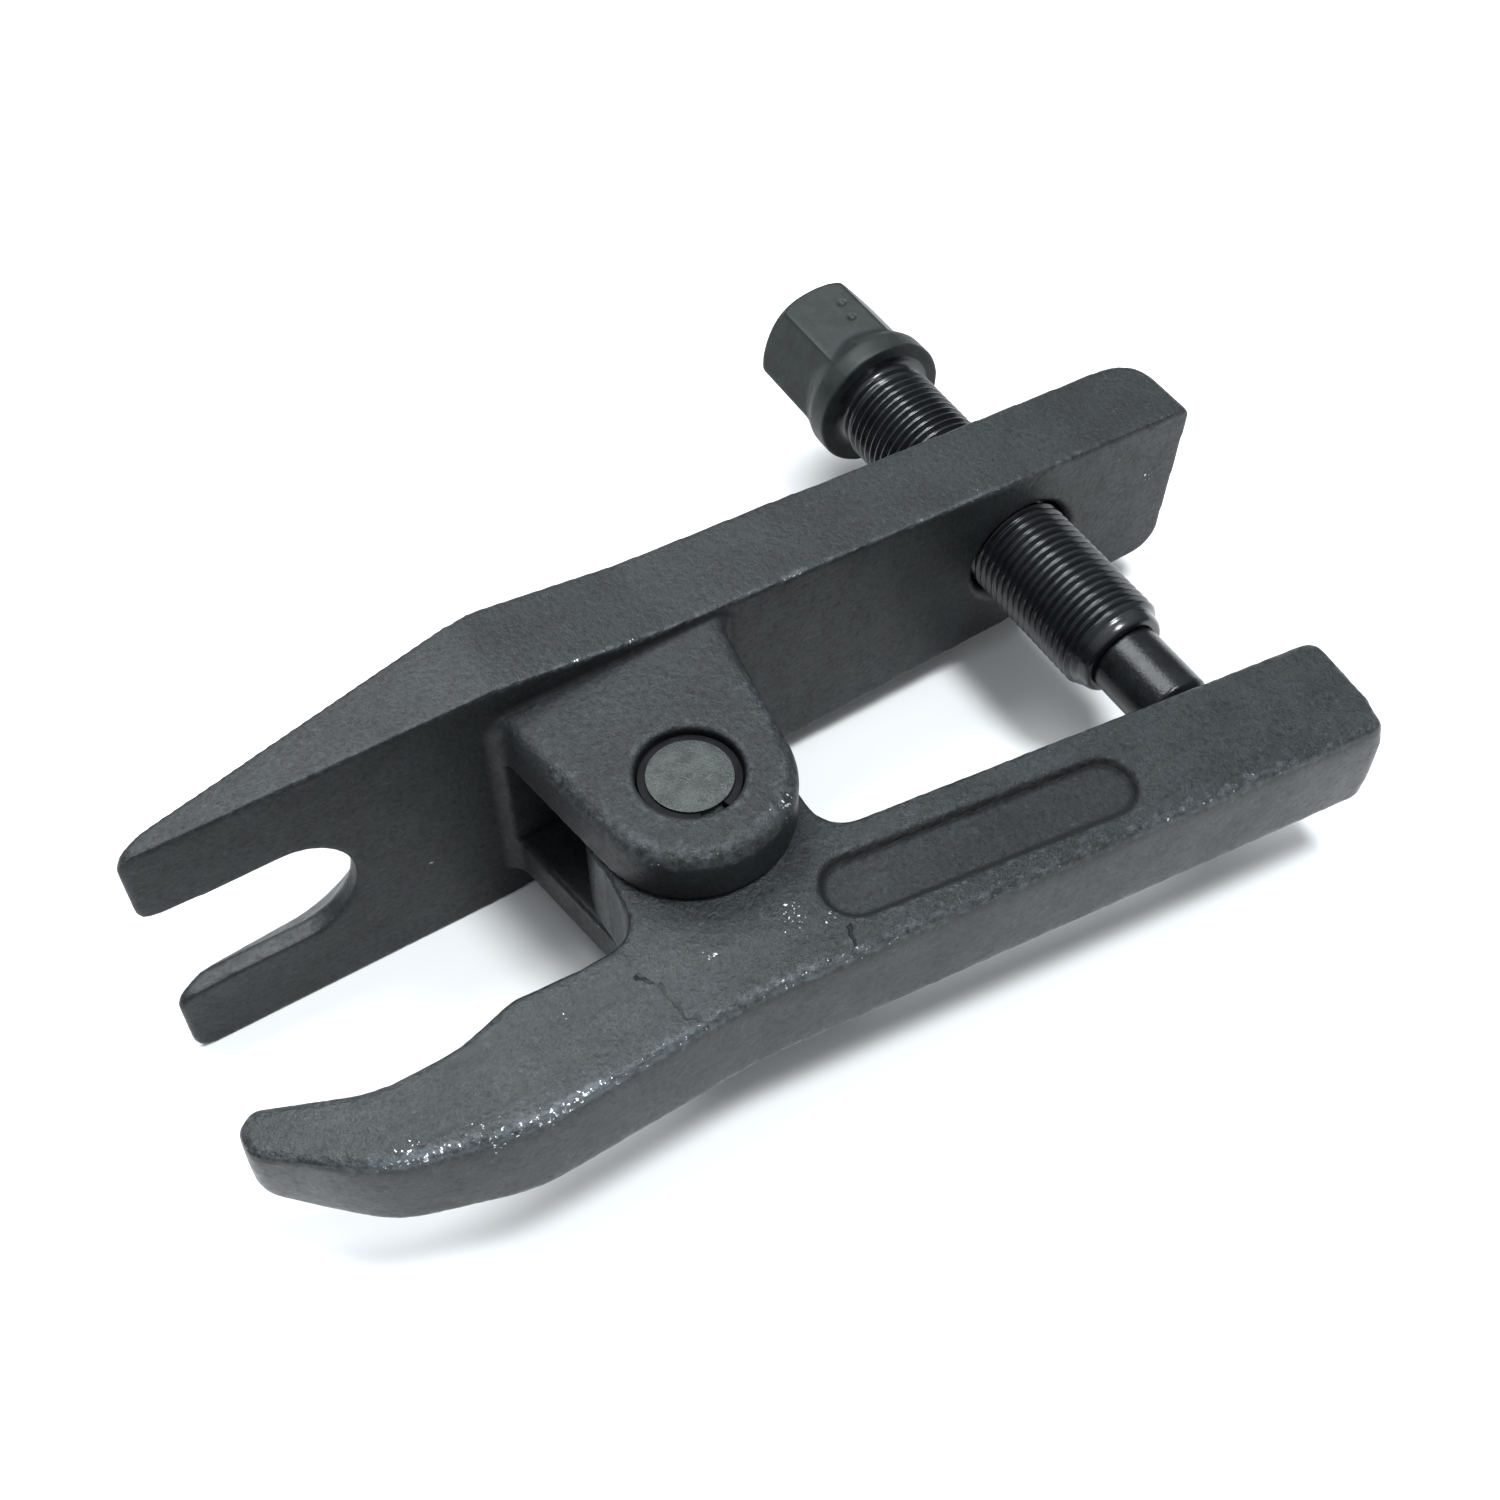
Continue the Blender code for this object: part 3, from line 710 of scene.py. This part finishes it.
def skin_lever_arm(lever):
    """Softens the outer edges, lifts the toe, and adds grain, worn edges and a wider painted sheen
    along the outer edges outside the hub, with painted shade in the recess and the concave corners.
    """
    skin = Skin(lever)
    x, y, z = skin.points.T  # of the plain forging, also after the points have moved
    off_hub = step_up(np.hypot(x, y), HUB_R + 0.6, HUB_R + 3.0)
    # the outer edges, mostly the upper one, are rounder than the others, but not at the tip
    back_line = np.interp(x, (-76, -62, -44, -8, 98), (-16, -27, -32.3, -31.3, -41.5))
    outer = (1 - step_up(y - back_line, 3.0, 6.0)) * step_up(x, -70, -58) * off_hub
    outer *= step_up(np.abs(z), LEVER_HALF - 5.0, LEVER_HALF - 3.0)
    skin.smooth(56, outer * np.where(z > 0, 1.0, 0.15))
    toe = ((TOE_FROM_X - x) / (TOE_FROM_X - TOE_TIP_X)).clip(0, 1)
    low_side = (-z / (LEVER_HALF - 1.4)).clip(0, 1)
    skin.points[:, 2] += TOE_LIFT * toe**2 * low_side**2
    skin.smooth(40, step_up(toe, 0.05, 0.5) * step_up(-z, 1.0, 4.0))
    skin.refresh()
    p, n = skin.points, skin.normals
    flat = step_up(np.abs(n[:, 2]), 0.5, 0.85)
    under_nose = (1 - step_up(np.abs(x - SCREW_X), NOSE_R + 2, NOSE_R + 6)) * (n[:, 1] > 0.5)
    edge = np.clip(skin.bend / SHARP, 0, 1)
    grain = 0.05 * noise(p, 1.7, 21) + 0.05 * noise(p, 1.0, 22)
    amount = off_hub * grain * (0.22 + 0.78 * flat * (1.3 + 0.6 * step_up(x, 5, 75)))
    amount += off_hub * 0.035 * noise(p, 9.0, 23)
    amount -= off_hub * edge * 0.09 * np.clip(noise(p, 1.5, 24) + 0.2, 0, 1)
    # the narrow faces are full in their middle, except where the nose comes up to one
    swell = 0.4 * (1 - (z / LEVER_HALF) ** 2).clip(0, 1) * (1 - flat) * off_hub
    amount += swell * (1 - under_nose)
    skin.move(amount)
    # the worn edges, plus a wider painted sheen band along the outer edges
    rim = np.maximum(0.4 * skin.rim(0, SOFT), skin.rim(10, 0.016) * outer)
    wear_and_sheen = rim * (0.75 + 0.5 * noise(p, 15.0, 25)) * (0.4 + 0.6 * (n[:, 2] > -0.2))
    wear_and_sheen *= 1 - 0.4 * step_up(x, -8, 20)
    skin.write("wear_and_sheen", np.clip(wear_and_sheen * off_hub, 0, 1))
    skin.write("scuff", scuffed(p, WORN_LEVER))
    coarse = 0.7 + 1.5 * step_up(x, -45, 75)
    skin.write("relief", 0.12 + 0.88 * coarse * step_up(np.abs(skin.normals[:, 2]), 0.3, 0.8))
    # painted shade in the recess, darker on its walls, and in the concave corners
    along = np.array(RECESS_END) - RECESS_START
    share = ((p[:, :2] - RECESS_START) @ along / (along @ along)).clip(0, 1)
    off_middle = np.hypot(*(p[:, :2] - RECESS_START - share[:, None] * along).T)
    inside = 1 - step_up(off_middle, RECESS_RIM_R - 0.5, RECESS_RIM_R + 0.3)
    inside = inside * (n[:, 2] > 0) * (z > 0)
    wall = inside * step_up(off_middle, RECESS_FLOOR_R - 0.5, RECESS_FLOOR_R)
    skin.write("shaded_hollow", np.clip(-skin.bend / 0.06, 0, 1).clip(0.45 * inside + 0.55 * wall, 1))
    return thin_out(skin.obj)


lever_arm = skin_lever_arm(make_lever_arm())
place(lever_arm, "lever", "lever_arm", lever_look, "lever_arm")


# --- Pivot pin and snap rings ----------------------------------------------------------
def make_pin():
    """The pin, the same both ways up: a centre dot, a soft face, and a groove for each ring."""
    half = [
        (0.0, PIN_HALF - 0.45), (0.25, PIN_HALF - 0.3), (0.5, PIN_HALF - 0.02), (0.65, PIN_HALF),
        (2.4, PIN_HALF - 0.02), (4.2, PIN_HALF - 0.05), (5.5, PIN_HALF - 0.1),
        (5.85, PIN_HALF - 0.16), (6.15, PIN_HALF - 0.2), (PIN_R - 0.08, PIN_HALF - 0.22),
        (PIN_R, GROOVE_HIGH), (GROOVE_R, GROOVE_HIGH), (GROOVE_R, GROOVE_LOW), (PIN_R, GROOVE_LOW),
    ]
    return lathe("pivot_pin_turned", half + [(r, -h) for r, h in reversed(half)], 0, "z", 128)


place(make_pin(), "fork", "pivot_pin", pin_look, "pivot_pin")


def make_ring(name, low, high):
    """An open ring with its gap towards -y."""
    half_gap = RING_GAP_DEG / 2
    outline = arc(0, 0, RING_OUTER_R, -90 + half_gap, 270 - half_gap, 120)
    outline += arc(0, 0, RING_INNER_R, 270 - half_gap, -90 + half_gap, 120)
    return bevel(prism(name, outline, low, high), 0.16, 3, 40)


place(make_ring("snap_ring_upper", RING_LOW, RING_HIGH), "fork", "retaining_rings",
      ring_look, "retaining_ring_upper")
place(make_ring("snap_ring_lower", -RING_HIGH, -RING_LOW), "fork", "retaining_rings",
      ring_look, "retaining_ring_lower")


# --- Forcing screw ---------------------------------------------------------------------
def thread_radius(y, turn, angle):
    """The threaded rod's radius at height y, with its crests nicked along one line."""
    share = (y / THREAD_PITCH - turn) % 1.0
    depth = np.interp(share, *zip(*THREAD_FORM, (1.0, 0.0)))
    radius = THREAD_R - THREAD_DEPTH * depth
    spread = ((np.degrees(angle) - NICK_AT_DEG) / NICK_WIDTH_DEG) ** 2
    uneven = 0.5 + 0.5 * np.sin(2.4 * np.floor(y / THREAD_PITCH))
    radius = radius - NICK_DEPTH * uneven * np.exp(-spread) * (depth < 0.2) * (y < NICK_HIGH)
    runout = POINT_R + 0.75 * (y - THREAD_END_Y - POINT_LENGTH)
    fade = NECK_R + 0.5 * (THREAD_HIGH - y)
    return np.minimum(np.minimum(radius, runout), np.maximum(fade, NECK_R))


def head_radius(y, angle):
    """The hexagon's radius with its crowned end, or the collar's where that is larger."""
    sector = np.radians((np.degrees(angle) - HEX_TURN_DEG) % 60.0)
    flats = [HEX_FLATS / 2 / np.cos(math.radians(30) + k) for k in (-sector, sector)]
    flats.append(HEX_FLATS / 2 / np.cos(math.radians(90) - sector))
    corner = HEX_FLATS / math.sqrt(3)
    crown = corner + np.interp(HEAD_END_Y - y, *HEAD_CROWN)
    collar = COLLAR_R + np.interp(y - COLLAR_LOW, *COLLAR_FORM)
    # a rounded minimum of flats and crown, then a rounded maximum with the collar; taking
    # the radii from a base near them keeps the powers small
    sharp, blend, base = 7.0, 5.0, 10
    hexagon = base - np.log(sum(np.exp(-sharp * (f - base)) for f in (*flats, crown))) / sharp
    both = np.exp(blend * (hexagon - base)) + np.exp(blend * (collar - base))
    return np.log(both) / blend + base


def screw_angles():
    """Directions round the screw, closer at the hexagon's corners, the marks and the nicks."""
    angles = []
    for k in range(6):
        start = HEX_TURN_DEG + 60 * k
        # finer on two flats; the punch marks and the nicks lie on the second of them
        inside = np.arange(4, 57, 1.3) if k < 2 else np.linspace(5.5, 54.5, 14)
        angles += [start + a for a in (0.0, 1.0, 2.4, *inside, 57.6, 59.0)]
    return np.sort(np.radians(np.array(angles) % 360.0))


def make_screw():
    """One closed skin: blind hole, plain point, helical thread, neck, collar and hexagon."""
    angles = screw_angles()
    around = len(angles)
    turn = (math.pi / 2 - angles) / (2 * math.pi)
    flat = np.ones(around)
    blind = NOSE_SHANK_R + NOSE_HOLE_GAP
    low, high = THREAD_END_Y + POINT_LENGTH, THREAD_HIGH
    start = [(THREAD_END_Y + h, r) for h, r in (
        (9.5, 0.0), (9.5, blind), (0.0, blind), (0.0, 6.6), (0.02, 7.15), (0.2, 7.4),
        (0.5, 7.6), (1.0, 7.78), (1.5, 7.88),
    )]
    rings = [(flat * y, flat * r) for y, r in start]
    first = len(rings)
    # the rows climb with the helix, so that each runs along one line of the thread's form
    for k in range(math.floor(low / THREAD_PITCH) - 1, math.ceil(high / THREAD_PITCH) + 2):
        for share, _ in THREAD_FORM:
            y = np.clip((k + share + turn) * THREAD_PITCH, low, high)
            rings.append((y, thread_radius(y, turn, angles)))
    last = len(rings)
    fillet = [(-1.2, 0.0), (-0.8, 0.08), (-0.45, 0.35), (-0.2, 0.75), (-0.05, 1.3), (0.0, 2.0)]
    neck = [(COLLAR_LOW + y, NECK_R + r) for y, r in fillet] + [(COLLAR_LOW, COLLAR_R - 0.8)]
    rings += [(flat * y, flat * r) for y, r in neck]
    tall = HEAD_END_Y - COLLAR_LOW
    steps = [0.0, 0.1, 0.25, 0.45, 0.8, 1.8, 2.6, 3.4, *np.arange(3.7, 9.0, 0.3)]
    steps += [*np.arange(9.3, 18.4, 0.22), *np.arange(18.8, tall - 3.0, 0.4)]
    steps += [*np.arange(tall - 3.0, tall - 0.01, 0.2)]
    for y in [COLLAR_LOW + step for step in steps] + [HEAD_END_Y]:
        rings.append((flat * y, head_radius(flat * y, angles)))
    end = rings[-1][1]
    rings += [(flat * HEAD_END_Y, end * k) for k in (0.97, 0.5, 0.0)]
    verts = np.array([
        np.stack([SCREW_X + r * np.cos(angles), y, r * np.sin(angles)], 1) for y, r in rings
    ])
    facing = math.radians(90 + HEX_TURN_DEG)
    for mark in PUNCH_MARKS:
        near = ((verts - mark) ** 2).sum(2) / PUNCH_R**2
        dent = PUNCH_DEPTH * np.clip(1 - near, 0, 1) ** 0.7
        verts -= dent[:, :, None] * np.array([math.cos(facing), 0, math.sin(facing)])
    faces = []
    for i in range(len(verts) - 1):
        for j in range(around):
            k = (j + 1) % around
            # over the seam, a row of the thread meets the one that is a pitch further on
            back = len(THREAD_FORM) if k == 0 and first <= i and i + 1 < last else 0
            c, d = (max(i + 1 - back, first), max(i - back, first)) if back else (i + 1, i)
            faces.append((i * around + j, (i + 1) * around + j, c * around + k, d * around + k))
    return mesh_object("forcing_screw_threaded", [tuple(v) for v in verts.reshape(-1, 3)], faces)


screw = make_screw()
place(screw, "screw", "forcing_screw", screw_look, "forcing_screw")
screw.data.materials.append(head_look)
head_from = PIVOT.y + (COLLAR_LOW - 0.02) / 1000
for polygon in screw.data.polygons:
    if polygon.center.y > head_from:
        polygon.material_index = 1


# --- Thrust nose -----------------------------------------------------------------------
def make_nose():
    """A domed tip, a shoulder, and a shank that sits in the screw's blind hole."""
    edge = math.asin(NOSE_R / NOSE_DOME_R) * 0.93
    angles = [edge * k / 12 for k in range(13)]
    dome = [
        (NOSE_DOME_R * math.sin(a), NOSE_TIP_Y + NOSE_DOME_R * (1 - math.cos(a))) for a in angles
    ]
    shoulder = THREAD_END_Y - SHOULDER_GAP
    brow = dome[-1][1]
    return lathe("thrust_nose_polished", dome + [
        (NOSE_R - 0.12, brow + 0.25), (NOSE_R, brow + 0.6), (NOSE_R, brow + 0.9),
        (NOSE_R, shoulder - 0.9), (NOSE_R, shoulder - 0.3), (NOSE_R - 0.06, shoulder - 0.1),
        (NOSE_R - 0.2, shoulder), (NOSE_SHANK_R, shoulder), (NOSE_SHANK_R, THREAD_END_Y + 8.7),
        (NOSE_SHANK_R - 0.5, THREAD_END_Y + 9.2), (0, THREAD_END_Y + 9.2),
    ], steps=128)


place(make_nose(), "nose", "thrust_nose", nose_look, "thrust_nose")


# --- Floor, light and camera (m) -------------------------------------------------------
FLOOR_HALF = 6.0
LIGHT_TOWARDS, LIGHT_COLOUR = (0.0, 0.0, 0.02), (0.93, 0.975, 1.0)
HORIZON, ZENITH = (0.25, 0.262, 0.275, 1.0), (1.06, 1.11, 1.16, 1.0)
CAMERA_AT = Vector((-0.09748, -0.16742, 0.2656))
CAMERA_TOWARDS = Vector((-0.00058, -0.01195, 0.02525))
CAMERA_LENS, CAMERA_SENSOR = 46.87, 36.0  # mm


def make_floor():
    """A pale floor that only shows the tool off and isn't part of it."""
    half = FLOOR_HALF
    corners = [(-half, -half, 0), (half, -half, 0), (half, half, 0), (-half, half, 0)]
    floor = mesh_object("floor", corners, [(0, 1, 2, 3)])
    look = Look("pale_floor")
    look.set(Base_Color=(0.7, 0.7, 0.7, 1.0), Roughness=0.9, Specular_IOR_Level=0.1)
    floor.data.materials.append(look.material)


def area_light(name, place_at, size, power):
    """A rectangular lamp that faces the tool."""
    data = bpy.data.lights.new(name, "AREA")
    data.shape, data.size, data.size_y, data.energy = "RECTANGLE", size[0], size[1], power
    data.color = LIGHT_COLOUR
    lamp = bpy.data.objects.new(name, data)
    lamp.location = place_at
    aim = Vector(LIGHT_TOWARDS) - Vector(place_at)
    lamp.rotation_euler = aim.to_track_quat("-Z", "Y").to_euler()
    bpy.context.scene.collection.objects.link(lamp)


def make_sky():
    """A background that is brighter overhead than at the horizon."""
    world = bpy.data.worlds.new("studio")
    world.use_nodes = True
    tree = world.node_tree
    background = tree.nodes.get("Background") or tree.nodes.new("ShaderNodeBackground")
    background.inputs["Strength"].default_value = 1.0
    direction = tree.nodes.new("ShaderNodeTexCoord")
    split = tree.nodes.new("ShaderNodeSeparateXYZ")
    rise = tree.nodes.new("ShaderNodeMapRange")
    rise.interpolation_type = "SMOOTHSTEP"
    for socket, value in (("From Min", 0.25), ("From Max", 1.0), ("To Min", 0.0), ("To Max", 1.0)):
        rise.inputs[socket].default_value = value
    sky = tree.nodes.new("ShaderNodeMix")
    sky.data_type = "RGBA"
    sky.inputs[6].default_value = HORIZON
    sky.inputs[7].default_value = ZENITH
    tree.links.new(direction.outputs["Generated"], split.inputs[0])
    tree.links.new(split.outputs["Z"], rise.inputs["Value"])
    tree.links.new(rise.outputs["Result"], sky.inputs["Factor"])
    tree.links.new(sky.outputs[2], background.inputs["Color"])
    bpy.context.scene.world = world


def make_camera():
    """A camera as it stood for the photograph, solved from points of the tool."""
    data = bpy.data.cameras.new("camera")
    data.lens, data.sensor_width, data.clip_start = CAMERA_LENS, CAMERA_SENSOR, 0.01
    camera = bpy.data.objects.new("camera", data)
    camera.location = CAMERA_AT
    camera.rotation_euler = (CAMERA_TOWARDS - CAMERA_AT).to_track_quat("-Z", "Y").to_euler()
    bpy.context.scene.collection.objects.link(camera)
    bpy.context.scene.camera = camera


make_floor()
area_light("overhead", (-0.06, 0.42, 0.82), (0.6, 0.45), 11.5)
area_light("front_overhead", (0.13, -0.2, 0.85), (0.2, 0.2), 8.5)
make_sky()
bpy.context.scene.view_settings.view_transform = "Standard"
make_camera()
